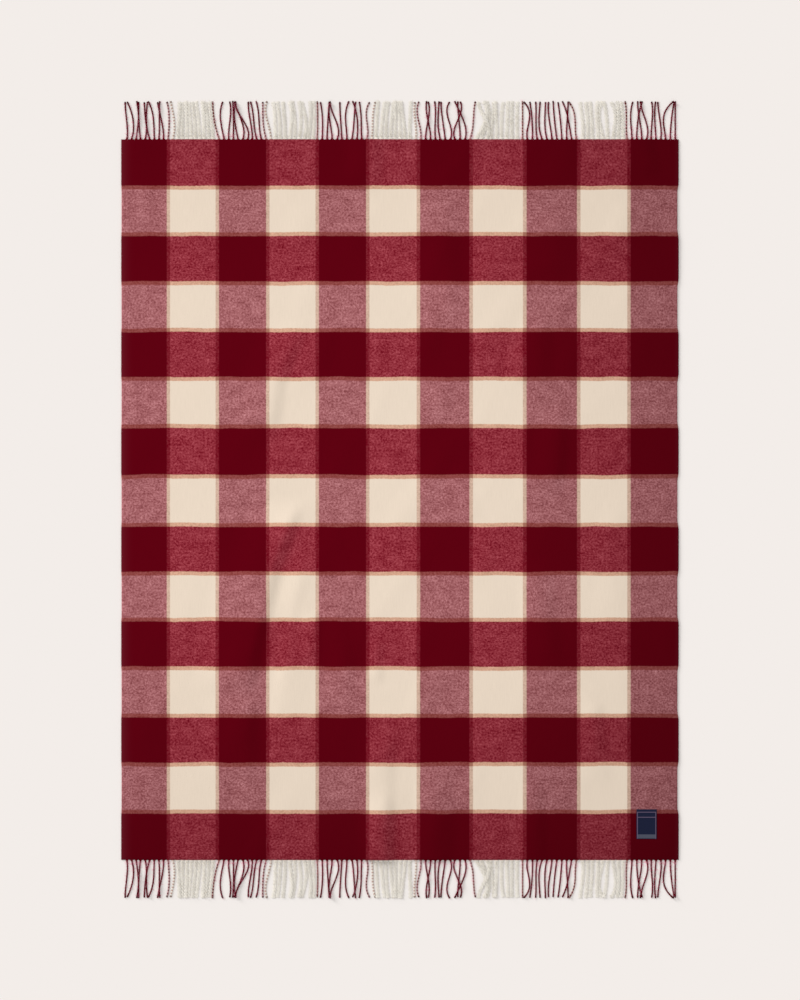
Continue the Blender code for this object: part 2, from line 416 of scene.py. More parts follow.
def noise(tree, place, size, detail=2, **more):
    """Soft noise from 0 to 1, with lumps of a size given in mm along X and Y, from a place in mm."""
    stretch = add_node(tree, "Mapping", {"Vector": place, "Scale": (1 / size[0], 1 / size[1], 1)})
    inputs = {"Vector": stretch.outputs[0], "Scale": 1, "Detail": detail, **more}
    return add_node(tree, "TexNoise", inputs).outputs[0]


def raise_bump(tree, shader, height, strength, depth):
    """Gives a material a relief, by a depth in mm."""
    bump = add_node(tree, "Bump", {"Strength": strength, "Distance": depth * MM, "Height": height})
    feed(tree, shader.inputs["Normal"], bump.outputs[0])


def new_group(name, inputs, outputs):
    """An empty node group with named sockets, and its input and output nodes."""
    group = bpy.data.node_groups.new(name, "ShaderNodeTree")
    for label, kind in inputs:
        group.interface.new_socket(label, in_out="INPUT", socket_type="NodeSocket" + kind)
    for label, kind in outputs:
        group.interface.new_socket(label, in_out="OUTPUT", socket_type="NodeSocket" + kind)
    return group, group.nodes.new("NodeGroupInput"), group.nodes.new("NodeGroupOutput")


def new_material(name):
    """A node material with its tree and its shader, set up for matt wool."""
    material = bpy.data.materials.new(name)
    material.use_nodes = True
    shader = material.node_tree.nodes["Principled BSDF"]
    shader.inputs["Specular IOR Level"].default_value = WOOL_GLOSS
    return material, material.node_tree, shader


print("specular level of wool:", WOOL_GLOSS)

# %% [markdown]
# ## Wool fibres
#
# Wool is fulled and brushed, so its face is a short nap: soft tufts of a millimetre or two with finer fibres
# combed along the warp. The cloth and the yarns share this, so it is one node group. It puts out a height
# for the bump, a shade that lightens the tops and darkens the hollows, and a roughness. A last helper wires
# all three into a material, each with its own strengths.

# %% Wool fibres
TUFT = 1.8  # mm
FIBRE = (0.5, 4.0)  # mm, across and along
FIBRE_BEND = 0.6  # distortion of the fibres
HAIR = (2.5, 30.0)  # combed streaks
ROUGHNESS = (0.15, 0.83)  # how much more there is on the tops, and what there is in the hollows

wool_group, enter, leave = new_group(
    "wool fibres",
    [("Place", "Vector"), ("Contrast", "Float")],
    [("Height", "Float"), ("Shade", "Float"), ("Roughness", "Float")],
)
tree = wool_group
tufts = noise(tree, enter.outputs["Place"], (TUFT, TUFT), 3)
fibres = noise(tree, enter.outputs["Place"], FIBRE, 2, Distortion=FIBRE_BEND)
streaks = noise(tree, enter.outputs["Place"], HAIR, 1)
height = calculate(tree, "MULTIPLY_ADD", fibres, 0.5, calculate(tree, "MULTIPLY", tufts, 0.5))
lean = calculate(tree, "ADD", calculate(tree, "ADD", height, streaks), -1)
shade = calculate(tree, "MULTIPLY_ADD", lean, enter.outputs["Contrast"], 1)
feed(tree, leave.inputs["Height"], height)
feed(tree, leave.inputs["Shade"], shade)
feed(tree, leave.inputs["Roughness"], calculate(tree, "MULTIPLY_ADD", height, *ROUGHNESS))


def finish_wool(tree, shader, place, colour, contrast, strength, depth):
    """Lets the fibres shade a wool material's colour, roughen it and raise its bump, by a depth in mm."""
    nap = add_node(tree, "Group", {"Place": place, "Contrast": contrast}, node_tree=wool_group).outputs
    feed(tree, shader.inputs["Base Color"], shaded(tree, colour, nap["Shade"]))
    feed(tree, shader.inputs["Roughness"], nap["Roughness"])
    raise_bump(tree, shader, nap["Height"], strength, depth)


print("wool fibres:", len(tree.nodes), "nodes")

# %% [markdown]
# ## Where a point lies among the stripes
#
# Both sets of stripes need the same sum, so it is a second group. It takes a stripe number, such as 2.5 for
# the middle of the third stripe, and folds it into a signed distance from the nearest border: below zero
# in red, above zero in cream. Two soft steps turn that into 0 for red, a half for tan and 1 for cream. The
# first and last stripes are red up to their edges, so the number is held half a stripe away from them.

# %% Stripes
BORDER_SOFTNESS = 1.2  # mm to each side of a border

stripe_group, enter, leave = new_group(
    "stripes",
    [("Number", "Float"), ("Last", "Float"), ("Pitch", "Float"), ("Band", "Float"), ("Wander", "Float")],
    [("Position", "Float")],
)
tree = stripe_group
number = calculate(tree, "MAXIMUM", enter.outputs["Number"], 0.5)
number = calculate(tree, "MINIMUM", number, enter.outputs["Last"])
swing = calculate(tree, "PINGPONG", calculate(tree, "ADD", number, 0.5), 1)
signed = calculate(tree, "SUBTRACT", 0.5, swing)
distance = calculate(tree, "MULTIPLY_ADD", signed, enter.outputs["Pitch"], enter.outputs["Wander"])
half_band = calculate(tree, "MULTIPLY", enter.outputs["Band"], 0.5)
steps = []
for edge in (calculate(tree, "MULTIPLY", half_band, -1), half_band):
    step = add_node(
        tree,
        "MapRange",
        {
            "Value": distance,
            "From Min": calculate(tree, "SUBTRACT", edge, BORDER_SOFTNESS),
            "From Max": calculate(tree, "ADD", edge, BORDER_SOFTNESS),
            "To Max": 0.5,
        },
        interpolation_type="SMOOTHSTEP",
    )
    steps.append(step.outputs[0])
feed(tree, leave.inputs["Position"], calculate(tree, "ADD", *steps))
print("stripes:", len(tree.nodes), "nodes")

# %% [markdown]
# ## The check
#
# Where red crosses red or cream crosses cream, the cloth shows one colour. Red weft over a cream warp gives
# crimson, and cream weft over a red warp gives a paler mauve, because the weft lies uppermost. The tan yarn
# is spun from both fleeces, so its crossings lie between those of red and cream, and its weft band is a
# little warmer than its warp band. One colour ramp along the warp is made for each kind of weft, and the
# weft position mixes the three.

# %% Colours of the yarns and crossings
RED = (0.112, 0.0, 0.005)
CREAM = (0.83, 0.695, 0.563)
WEFT_ROWS = (
    # over red warp, over tan warp, over cream warp
    (RED, (0.195, 0.011, 0.021), (0.287, 0.0295, 0.0447)),  # red weft: red, wine, crimson
    ((0.275, 0.062, 0.057), (0.40, 0.17, 0.115), (0.67, 0.385, 0.262)),  # tan weft: russet, tan, biscuit
    ((0.382, 0.129, 0.139), (0.65, 0.445, 0.34), CREAM),  # cream weft: mauve, buff, cream
)


def opaque(colour):
    """A colour with full alpha, as sockets and ramps take it."""
    return (*[float(part) for part in colour], 1.0)


def three_way_ramp(tree, position, colours):
    """The first colour at 0, the second at a half and the third at 1."""
    ramp = add_node(tree, "ValToRGB", {"Fac": position})
    stops = ramp.color_ramp.elements
    stops.new(0.5)
    for stop, colour in zip(stops, colours):
        stop.color = opaque(colour)
    return ramp.outputs[0]


print("weft rows:", len(WEFT_ROWS))

# %% [markdown]
# ## The cloth's material
#
# The UV map gives a share across and a share along the cloth. A Float Curve with straight pieces turns each
# share into a stripe number, with one point at each border, so unequal stripes come out right. A weft border
# wanders a little, since each pick beds in differently, and a warp border hardly does.

# %% Nodes for the cloth's place and stripes
WARP_WANDER = (30, 9), 1.2  # mm, the size of the noise and the reach of its whole range
WEFT_WANDER = (5, 30), 2.4  # of single picks
WEFT_DRIFT = (90, 160), 6.5  # of the whole border


def value_curve(tree, value, points, handle="AUTO_CLAMPED"):
    """A Float Curve through those points, the first at 0 and the last at 1."""
    curve = add_node(tree, "FloatCurve", {"Value": value})
    line = curve.mapping.curves[0]
    for _ in points[2:]:
        line.points.new(0.5, 0.5)
    for point, place in zip(line.points, points):
        point.location = place
        point.handle_type = handle
    curve.mapping.update()
    return curve.outputs[0]


def stripe_number(tree, share, ends):
    """The stripe number at a share of the way across, from a curve with a point at each border."""
    last = len(ends) - 1
    points = [(end / ends[-1], border / last) for border, end in enumerate(ends)]
    return calculate(tree, "MULTIPLY", value_curve(tree, share, points, "VECTOR"), float(last))


def stripe_position(tree, share, ends, band, wander):
    """0 in red, a half in tan and 1 in cream."""
    last = len(ends) - 1
    inputs = {
        "Number": stripe_number(tree, share, ends),
        "Last": last - 0.5,
        "Pitch": float(ends[-1] / last / MM),
        "Band": float(band),
        "Wander": wander,
    }
    return add_node(tree, "Group", inputs, node_tree=stripe_group).outputs[0]


def wander(tree, place, size, reach):
    """A border's wandering to both sides of its place, in mm."""
    centred = calculate(tree, "SUBTRACT", noise(tree, place, size, 2), 0.5)
    return calculate(tree, "MULTIPLY", centred, float(reach))


cloth_material, tree, shader = new_material("checked wool")
flat_map = add_node(tree, "UVMap", uv_map="UVMap").outputs[0]
shares = add_node(tree, "SeparateXYZ", {"Vector": flat_map}).outputs
place = add_node(tree, "Mapping", {"Vector": flat_map, "Scale": (WIDTH / MM, LENGTH / MM, 1)}).outputs[0]
from_top = calculate(tree, "SUBTRACT", 1, shares["Y"])
warp_wander = wander(tree, place, *WARP_WANDER)
weft_wander = calculate(tree, "ADD", wander(tree, place, *WEFT_WANDER), wander(tree, place, *WEFT_DRIFT))
warp = stripe_position(tree, shares["X"], WARP_ENDS, WARP_BAND, warp_wander)
weft = stripe_position(tree, from_top, WEFT_ENDS, WEFT_BAND, weft_wander)
print("pattern so far:", len(tree.nodes), "nodes")

rows = [three_way_ramp(tree, warp, colours) for colours in WEFT_ROWS]
lower = mix_colours(tree, calculate(tree, "MULTIPLY", weft, 2), rows[0], rows[1])
colour = mix_colours(tree, calculate(tree, "MULTIPLY_ADD", weft, 2, -1), lower, rows[2])
print("check:", len(tree.nodes), "nodes")

# %% [markdown]
# ## Flecks, painted shade and painted highlights
#
# Where red and cream cross, flecks of both yarns show through the nap, with softer blotches between them.
# This speckle is what makes the mixed squares look woven. A painted shade darkens the dyed squares towards
# the right selvage and the lower end, and a painted shadow darkens the very top end. A cream square takes
# only a little of it. A painted highlight pales the selvages, most of all the left one.

# %% Flecks, painted shade and painted highlights
FLECK = (5.0, 4.6)  # mm, across and along
FLECK_ROUGHNESS = 0.75  # weight of the finer flecks
BLOTCH = (30, 24)
FLECK_SHADE, BLOTCH_SHADE = 2.3, 0.5  # change of shade over the noise's whole range
FLECK_PALE = (0.80, 0.60, 0.62)
FLECK_SHARE = (0.12, 0.28)  # of that pale colour, for a change of shade by 1, in crimson and in mauve
MAUVE_CALM = -0.1  # mauve flecks less than crimson by this share
# Painted shade across the width from the left selvage, as a factor on the colour
PAINTED_SHADE_ACROSS = ((0, 1), (0.45, 0.99), (0.68, 0.93), (0.86, 0.81), (1, 0.74))
# Painted shade from the top end down; its first points are a painted shadow along the top end
PAINTED_SHADE_ALONG = ((0, 0.8), (0.005, 0.94), (0.1, 0.96), (0.2, 1), (0.6, 0.99), (0.83, 0.9), (1, 0.78))
CREAM_PAINTED_SHADE = 0.35  # share of that painted shade that a cream square has
# Colour of the painted highlight on the selvages, and of light through the red fibres
PAINTED_LIGHT_PINK = (0.95, 0.36, 0.48)
SELVAGE_HIGHLIGHT = ((0, 0.026), (0.008, 0.009), (0.024, 0), (0.99, 0), (0.996, 0.004), (1, 0.012))  # painted highlight along the selvages, over the width

mixed = calculate(tree, "ABSOLUTE", calculate(tree, "SUBTRACT", warp, weft))
fleck = calculate(tree, "SUBTRACT", noise(tree, place, FLECK, 3, Roughness=FLECK_ROUGHNESS), 0.5)
blotch = calculate(tree, "SUBTRACT", noise(tree, place, BLOTCH, 1), 0.5)
blotch = calculate(tree, "MULTIPLY", blotch, BLOTCH_SHADE)
strength = calculate(tree, "MULTIPLY", calculate(tree, "MULTIPLY_ADD", weft, MAUVE_CALM, 1), mixed)
speckle = calculate(tree, "MULTIPLY", calculate(tree, "MULTIPLY_ADD", fleck, FLECK_SHADE, blotch), strength)
share = calculate(tree, "MULTIPLY_ADD", weft, FLECK_SHARE[1] - FLECK_SHARE[0], FLECK_SHARE[0])
colour = mix_colours(tree, calculate(tree, "MULTIPLY", speckle, share), colour, opaque(FLECK_PALE))
colour.node.clamp_factor = False
colour = shaded(tree, colour, calculate(tree, "ADD", speckle, 1))

# Painted shade: darker towards the right selvage and the lower end, with a painted shadow along the top end
painted_shade_across, painted_shade_along = value_curve(tree, shares["X"], PAINTED_SHADE_ACROSS), value_curve(tree, from_top, PAINTED_SHADE_ALONG)
painted_shade = calculate(tree, "MULTIPLY", painted_shade_across, painted_shade_along)
painted_shade_weight = calculate(tree, "MULTIPLY_ADD", calculate(tree, "MULTIPLY", warp, weft), CREAM_PAINTED_SHADE - 1, 1)
colour = mix_colours(tree, painted_shade_weight, colour, shaded(tree, colour, painted_shade))
# Painted highlight along the selvages, most at the left one
colour = mix_colours(tree, value_curve(tree, shares["X"], SELVAGE_HIGHLIGHT), colour, opaque(PAINTED_LIGHT_PINK))
print("with flecks and lie:", len(tree.nodes), "nodes")

# %% Nap of the cloth
CLOTH_NAP = (0.08, 0.5, 0.4)  # contrast of the shade, strength of the bump and its depth in mm

finish_wool(tree, shader, place, colour, *CLOTH_NAP)
cloth.data.materials.clear()
cloth.data.materials.append(cloth_material)
print("cloth material:", len(tree.nodes), "nodes")

# %% [markdown]
# ## Where the strands lie
#
# The warp ends are left long at both ends of the cloth and twisted into strands, about eleven millimetres
# apart. A red stripe makes red strands and a cream stripe cream ones, and at the borders a tan yarn is
# twisted in. Combed and dropped, the strands lean and cross. Each lean is measured from the strand's root,
# to the right, at a third and two thirds of its length and at its tip. The lower fringe mirrors the upper.

# %% Table of strands
STRANDS = (
    # yarns, first, last, a third, two thirds, tip, all but the yarns in mm
    ("rrrrrrrrrmt", 13, 120, (1, 5, 4, -3, 3, -7, -1, 1, -2, 2, 4),
     (-2, 1, 6, -5, 3, -11, -4, 1, -8, 2, 1),
     (-4, -10, 6, -9, 6, -13, -14, 2, -14, -3, -5)),
    ("ccccccccc", 132, 214, (1, 0, 0, -1, -1, -2, -1, -1, -2),
     (3, 0, -1, -4, -4, -5, -2, -4, -5),
     (4, 1, -2, -6, -7, -9, -4, -7, -8)),
    ("drrrrrrrrrmt", 229, 349, (-9, -6, 1, 0, -6, 1, -2, -2, -6, -5, -6, -5),
     (-14, -9, 4, 0, -9, -9, -19, -7, -9, -7, -8, -12),
     (-16, -3, 2, -2, -6, -20, -27, -9, -15, -13, -8, -9)),
    ("ccccccccc", 360, 447, (-1, -1, 0, 3, 2, 4, 6, 4, 2),
     (-2, -3, -2, 5, 0, 4, 3, 6, 3),
     (-6, -7, -5, 0, -5, 0, -5, 4, 1)),
    ("drrrrrrrrrmt", 457, 584, (1, 1, 1, -3, 2, -2, -2, 4, 2, -1, 2, 2),
     (1, 0, 3, -7, -9, -4, -3, 6, -1, -2, -1, 3),
     (0, -4, 5, -5, -16, -5, 5, 9, -10, -6, 7, 9)),
    ("cccccccc", 594, 673, (1, 2, 1, 1, 0, -1, -2, 0),
     (3, 5, 3, 4, 0, -3, -6, 1),
     (4, 9, 6, 7, -1, -5, -10, 2)),
    ("tmrrrrrrrrrm", 687, 813, (0, -2, 3, -3, -1, -5, -4, 1, 0, -1, 1, 7),
     (-3, -8, 8, -9, 0, -5, -8, -7, 12, -4, -10, 9),
     (-2, -4, 6, -9, -2, -3, -10, -1, 12, -5, -24, 13)),
    ("ccccccccc", 826, 923, (18, 13, 6, 2, 1, 0, 1, 0, 0),
     (27, 20, -7, 5, -1, 1, 2, 0, 0),
     (19, 14, -17, 7, -2, 5, 3, 1, 1)),
    ("drrrrrrrrrrd", 936, 1062, (0, 1, 0, -3, -7, -5, -4, -4, -2, 0, -5, -3),
     (0, 5, -2, -3, -7, -5, -8, -7, -5, 2, -11, -5),
     (0, -9, -6, -4, -5, -4, -8, -9, -9, 3, -22, -18)),
    ("ccccccccc", 1075, 1171, (2, 1, -1, 0, -5, -2, 4, 1, -1),
     (-1, -1, -3, -2, -9, -4, 6, 1, -2),
     (-5, -3, -5, 1, -1, -10, -5, -3, -5)),
    ("drrrrrrrrrr", 1180, 1292, (-2, -2, 1, -2, 2, 1, -2, 0, -4, 1, 0),
     (-2, -3, 5, -7, -7, 3, -3, -4, -3, 4, 0),
     (-5, 2, 13, -9, -14, 1, -1, -7, 19, 9, 0)),
)
LEAN_SHARES = (1 / 3, 2 / 3, 1)  # of a strand's length
yarns = "".join(row[0] for row in STRANDS)
print(len(yarns), "strands at each end")

# %% [markdown]
# ## Paths of the strands
#
# A smooth curve through the three leans gives each strand's run. The cream yarn is much bulkier and softer
# than the red, so it lies broad and flat. Where strands would lie in each other, one has to ride over the
# other. Every other strand is laid on the floor first. The rest are laid over them, and a strand that has
# to climb does so in a long low hump, because wool yarn is springy.

# %% Paths of the strands
FRINGE = 90 * MM  # from the cloth's end to the tips
TWIST = 6 * MM  # one turn of two plies at the sizes below
TURN_STEPS = 5
PLY_RADIUS = 1.0 * MM
PLY_OFFSET = 0.9 * MM  # a ply's middle from its strand's
BULK = {"r": (1.15, 0.45), "c": (2.7, 0.11), "m": (1.2, 0.4), "t": (1.4, 0.3), "d": (1.15, 0.4)}
# By yarns: share of those two sizes, and a strand's height by its width.
PRESSED = 0.85  # share of two strands' radii by which they are apart where they cross
SETTLE = 30  # rounds of easing a hump

STATIONS = np.linspace(0, 1, round(FRINGE / TWIST * TURN_STEPS) + 1)
bulk, flatness = np.array([BULK[letter] for letter in yarns]).T[:, :, None]
radius = bulk * (PLY_RADIUS + PLY_OFFSET)
half_height = radius * flatness


def strand_runs(shares):
    """X of every strand at those shares of its length: one row a strand."""
    powers = [1, 2, 3]
    solve = np.linalg.inv([[share**power for power in powers] for share in LEAN_SHARES])
    curve = np.stack([shares**power for power in powers], axis=1)
    runs = []
    for letters, first, last, *leans in STRANDS:
        roots = np.linspace(first, last, len(letters))
        runs.append(roots[:, None] + (curve @ solve @ np.array(leans, dtype=float)).T)
    return np.concatenate(runs) * MM - WIDTH / 2


def laid_heights(x):
    """Height of every strand's middle at its stations."""
    height = np.tile(half_height, x.shape[1])
    order = [*range(0, len(x), 2), *range(1, len(x), 2)]
    for turn, strand in enumerate(order):
        for other in order[:turn]:
            apart = abs(x[strand] - x[other]) / (radius[strand] + radius[other]) / PRESSED
            over = np.sqrt(np.clip(1 - apart**2, 0, None)) * (half_height[strand] + half_height[other])
            height[strand] = np.maximum(height[strand], np.where(over > 0, height[other] + over, 0))
        for _ in range(SETTLE):
            eased = (height[strand][:-2] + height[strand][2:]) / 2
            height[strand][1:-1] = np.maximum(height[strand][1:-1], eased)
    return height


strand_x = strand_runs(STATIONS)
strand_height = laid_heights(strand_x)
print(f"{len(STATIONS)} stations a strand, highest {strand_height.max() / MM:.1f} mm")

# %% [markdown]
# ## Twisting the yarn
#
# Each strand is two plies wound round each other. A ply is a thin tube on a helix round the strand's path,
# and the two helices start on opposite sides. With hundreds of tubes, arrays are the quickest way: every
# point is worked out at once. A strand swells and closes at its felted tip. Its root is a short web of
# fibres as wide as the strand's share of the cloth's end, which narrows in a round arch.

# %% Tubes
SIDES = 5  # of a ply
ROOT_RUN = 5 * MM  # over which a strand rises from the cloth's end to its full size
ROOT_SHARE = 0.5  # of its size at the cloth's end
TIP = (0, 1.0, 3.5, 8.0)  # mm from the tip
TIP_SHARES = (0.55, 1.15, 1.25, 1.0)  # of a ply's radius there


def tube_faces(tubes, rings, sides):
    """Faces of closed tubes, whose points are counted tube by tube, ring by ring."""
    ring, side = np.mgrid[0 : rings - 1, 0:sides]
    corner = ring * sides + side
    turned = ring * sides + (side + 1) % sides
    quads = np.stack([corner, corner + sides, turned + sides, turned], axis=-1).reshape(-1, 4)
    caps = np.stack([np.arange(sides), (rings * sides - 1) - np.arange(sides)])
    starts = (np.arange(tubes) * rings * sides)[:, None, None]
    return [*(starts + quads).reshape(-1, 4).tolist(), *(starts + caps).reshape(-1, sides).tolist()]


def strand_axes(x, y):
    """A level direction across every strand at its stations."""
    along_x, along_y = np.gradient(x, axis=1), np.gradient(y, axis=1)
    size = np.hypot(along_x, along_y)
    return np.stack([along_y / size, -along_x / size, 0 * size], axis=-1)


def ply_points(x, y, z, starts):
    """Points of both plies of every strand round its path: strand, ply, ring, side, axis."""
    run = abs(y - y[:, :1])
    size = bulk * np.interp(run, (0, ROOT_RUN), (ROOT_SHARE, 1))
    girth = PLY_RADIUS * size * np.interp((run[:, -1:] - run) / MM, TIP, TIP_SHARES)
    turn = (2 * pi * run / TWIST / bulk + starts[:, None])[:, None, :, None]
    turn = turn + np.array([0, pi])[:, None, None]
    side = turn + 2 * pi * np.arange(SIDES) / SIDES
    offset, girth = [part[:, None, :, None] for part in (PLY_OFFSET * size, girth)]
    level = (offset * np.cos(turn) + girth * np.cos(side))[..., None]
    lift = (flatness[..., None, None] * (offset * np.sin(turn) + girth * np.sin(side)))[..., None]
    middle = np.stack([x, y, z], axis=-1)[:, None, :, None, :]
    return middle + level * strand_axes(x, y)[:, None, :, None, :] + lift * np.array((0, 0, 1))


print("a strand has", 2 * len(tube_faces(1, len(STATIONS), SIDES)), "faces")

# %% [markdown]
# ## Webs at the roots
#
# Seen from above, the cloth's end is a row of small round arches between the strands. So each root's web is
# a flat tube: as wide as half the way to both neighbours where it leaves the cloth, and as slim as the
# strand where the arches are at their full width.

# %% Webs at the roots
WEB_SIDES = 8
ARCH = 3.4 * MM  # how far a notch between two roots runs into full width
WEB_STEPS = np.array((-0.4, 0, 0.06, 0.2, 0.45, 1.0, 1.5))  # shares of that run, from the cloth's end
WEB_HEIGHTS = (0.8, 1.05, 1.05, 1.1, 1.2, 1.3, 0.9)  # mm, half of the web's thickness there
NECKS = (0.9, 0.6)  # least half width by the strand's radius: along the arch, and past it
END_HEIGHT = THICKNESS * END_SHARES[0] / 2  # of the middle of the cloth's end


def web_points(end, edge):
    """Points of every root's web, from the heights of the cloth's end there: strand, ring, side, axis."""
    run = WEB_STEPS * ARCH
    x = strand_runs(np.clip(run, 0, None) / FRINGE)
    half_gaps = np.diff(x[:, 0]) / 2
    left = np.concatenate([half_gaps[:1], half_gaps])
    right = np.concatenate([half_gaps, half_gaps[-1:]])
    neck = (radius * np.where(WEB_STEPS > 1, NECKS[1], NECKS[0]))[..., None]
    opened = np.sqrt(1 - np.clip(1 - WEB_STEPS, 0, 1) ** 2)
    angle = -end * 2 * pi * (np.arange(WEB_SIDES) + 0.5) / WEB_SIDES
    reach = np.where(np.cos(angle) > 0, right[:, None], left[:, None])[:, None, :]
    half_width = reach + (neck - reach) * opened[:, None]
    rise = np.clip(run / ROOT_RUN, 0, 1)
    middle = edge[:, None] + (half_height - edge[:, None]) * rise
    points = np.empty((*half_width.shape, 3))
    points[..., 0] = x[:, :, None] + half_width * np.cos(angle)
    points[..., 1] = (end * (LENGTH / 2 + run))[:, None]
    points[..., 2] = middle[:, :, None] + np.array(WEB_HEIGHTS)[:, None] * MM * np.sin(angle)
    points[..., 2] = np.maximum(points[..., 2], 0)
    return points


print(len(yarns), "webs of", len(tube_faces(1, len(WEB_STEPS), WEB_SIDES)), "faces")

# %% [markdown]
# ## Yarn colours
#
# A red strand has two red plies and a cream one two cream plies. At the borders of the stripes two yarns are
# twisted together, and each shows in spots. Every point keeps its colour in an attribute, so one material
# serves the whole fringe. No two strands took the dye quite alike, so each has its own tone, and the felted
# tips of the dyed ones are deeper.

# %% Yarn colours
RED_YARN = np.array((0.12, 0.003, 0.010))
CREAM_YARN = np.array((0.775, 0.73, 0.657))
TAN_YARN = np.array((0.48, 0.32, 0.27))
ROSE_YARN = np.array((0.55, 0.38, 0.36))  # red and cream spun together
PLIES = {
    "r": (RED_YARN, RED_YARN),
    "c": (CREAM_YARN, CREAM_YARN),
    "m": (RED_YARN, ROSE_YARN),  # mottled
    "t": (TAN_YARN, CREAM_YARN),
    "d": (TAN_YARN, RED_YARN),
}
LAST_PICKS = dict(zip("rcmtd", (RED, WEFT_ROWS[0][2], *[WEFT_ROWS[0][1]] * 3)))  # the cloth's end at a root
TONE_SPREAD = 0.06
TONE_SEED = 4
WEB_BLEND = 0.5  # share of an arch over which a web's colour turns from the cloth's to the yarn's
FELTED = (0.93, 0.97)  # shares of a strand's length where its tip begins to deepen, and is deepest
TIP_SHADE = 0.5
SPOT_STATIONS = 3  # length of a spot on a speckled strand

chance = np.random.default_rng(TONE_SEED)
tones = 1 + TONE_SPREAD * chance.uniform(-1, 1, (len(yarns), 1, 1))
ply_colours = np.array([PLIES[letter] for letter in yarns]) * tones
yarn_colours = ply_colours.mean(axis=1)
end_colours = np.array([LAST_PICKS[letter] for letter in yarns])
still_cloth = np.interp(WEB_STEPS, (0, WEB_BLEND), (1, 0))[:, None]  # how far a web's colour is the cloth's
web_colours = yarn_colours[:, None] + (end_colours - yarn_colours)[:, None] * still_cloth
felted = np.interp(STATIONS, FELTED, (0, TIP_SHADE))  # how much deeper a dyed strand is at its tip
dyed = np.array([letter != "c" for letter in yarns])[:, None]
speckled = np.array([letter in "mtd" for letter in yarns])[:, None, None, None]
spots = np.arange(len(STATIONS)) // SPOT_STATIONS % 2  # which of its two yarns shows all round
ring_colours = np.where(speckled, ply_colours[:, None, spots], ply_colours[:, :, None])
ring_colours = ring_colours * (1 - dyed * felted)[:, None, :, None]
print("yarns:", {letter: yarns.count(letter) for letter in PLIES})

# %% [markdown]
# ## Loose fibres
#
# Wool yarn is never clean: loose fibres stand off it all round. From above they make the strands look soft
# and tint the floor between them. Each fibre is a thin bent tube that starts inside its strand. Light goes
# through it, so it looks paler than its yarn.

# %% Loose fibres
HAIRS = {"r": (90, 0.19), "c": (170, 0.21), "m": (90, 0.15), "t": (90, 0.15), "d": (90, 0.15)}
# How many a strand has, and their radius in mm.
HAIR_LENGTHS = (3.5, 7.5)  # mm
HAIR_GIRTHS = (1, 0.8, 0.35)  # shares of that radius, at a fibre's start, middle and tip
HAIR_CURL = 1.3  # radians by which a fibre turns at most
HAIR_SIDES = 3
PALENESS = 0.85  # how far a fibre's colour is from its yarn's to that of light through it
ROOTWARD = 1.9  # above 1, more of the fibres stand near the roots
HAIR_FROM = 4  # the first station that they start from

through = np.array([CREAM_YARN if letter in "ct" else PAINTED_LIGHT_PINK for letter in yarns])
hair_counts, hair_radius = np.array([HAIRS[letter] for letter in yarns]).T
strand = np.repeat(np.arange(len(yarns)), hair_counts.astype(int))  # of every fibre
hair_radius = hair_radius[strand, None] * MM
fibre_colours = (yarn_colours + (through - yarn_colours) * PALENESS)[strand]


def fibre_points(x, y, z, chance):
    """Points of every strand's loose fibres: fibre, ring, side, axis."""
    station = HAIR_FROM + chance.uniform(0, 1, len(strand)) ** ROOTWARD * (x.shape[1] - 1 - HAIR_FROM)
    start = strand, station.astype(int)
    along = np.linspace(0, 1, len(HAIR_GIRTHS))
    bearing, curl, rise, size = chance.uniform(-1, 1, (4, len(strand), 1))
    run = np.interp(size, (-1, 1), HAIR_LENGTHS) * MM * along
    turn = pi * bearing + HAIR_CURL * curl * along
    fibre_x = x[start][:, None] + run * np.cos(turn)
    fibre_y = y[start][:, None] + run * np.sin(turn)
    fibre_z = np.maximum(z[start][:, None] + rise * radius[strand] * along, 2 * hair_radius)
    middle = np.stack([fibre_x, fibre_y, fibre_z], axis=-1)[:, :, None, :]
    side = 2 * pi * np.arange(HAIR_SIDES)[:, None] / HAIR_SIDES
    girth = hair_radius[..., None, None] * np.array(HAIR_GIRTHS)[:, None, None]
    level = girth * np.cos(side) * strand_axes(fibre_x, fibre_y)[:, :, None, :]
    return middle + level + girth * np.sin(side) * np.array((0, 0, 1))


print(len(strand), "fibres of", len(tube_faces(1, len(HAIR_GIRTHS), HAIR_SIDES)), "faces")

# %% The fringes
LENGTH_SPREAD = 0.03  # share by which a strand may fall short
FRINGE_SEED = 20
CORNER = 45  # degrees; faces that meet at more are shaded apart, so that a flat strand looks flat


def new_piece(name, points, faces):
    """An object with a mesh of those points and faces, shaded smooth."""
    mesh = bpy.data.meshes.new(name)
    mesh.from_pydata(points, [], faces)
    mesh.shade_smooth()
    piece = bpy.data.objects.new(name, mesh)
    scene.collection.objects.link(piece)
    return piece


def new_yarn_piece(name, *parts):
    """A piece joined from parts, each an array of tubes, rings, sides and axes, and its colours by ring."""
    points, faces, colours = [], [], []
    for part, tones in parts:
        start = sum(map(len, points))
        faces += [[corner + start for corner in face] for face in tube_faces(*part.shape[:3])]
        points.append(part.reshape(-1, 3))
        colours.append(np.broadcast_to(tones[:, :, None], part.shape).reshape(-1, 3))
    piece = new_piece(name, np.concatenate(points), faces)
    piece.data.set_sharp_from_angle(angle=radians(CORNER))
    colours = np.pad(np.concatenate(colours), ((0, 0), (0, 1)), constant_values=1)
    piece.data.attributes.new("yarn", "FLOAT_COLOR", "POINT").data.foreach_set("color", colours.ravel())
    return piece


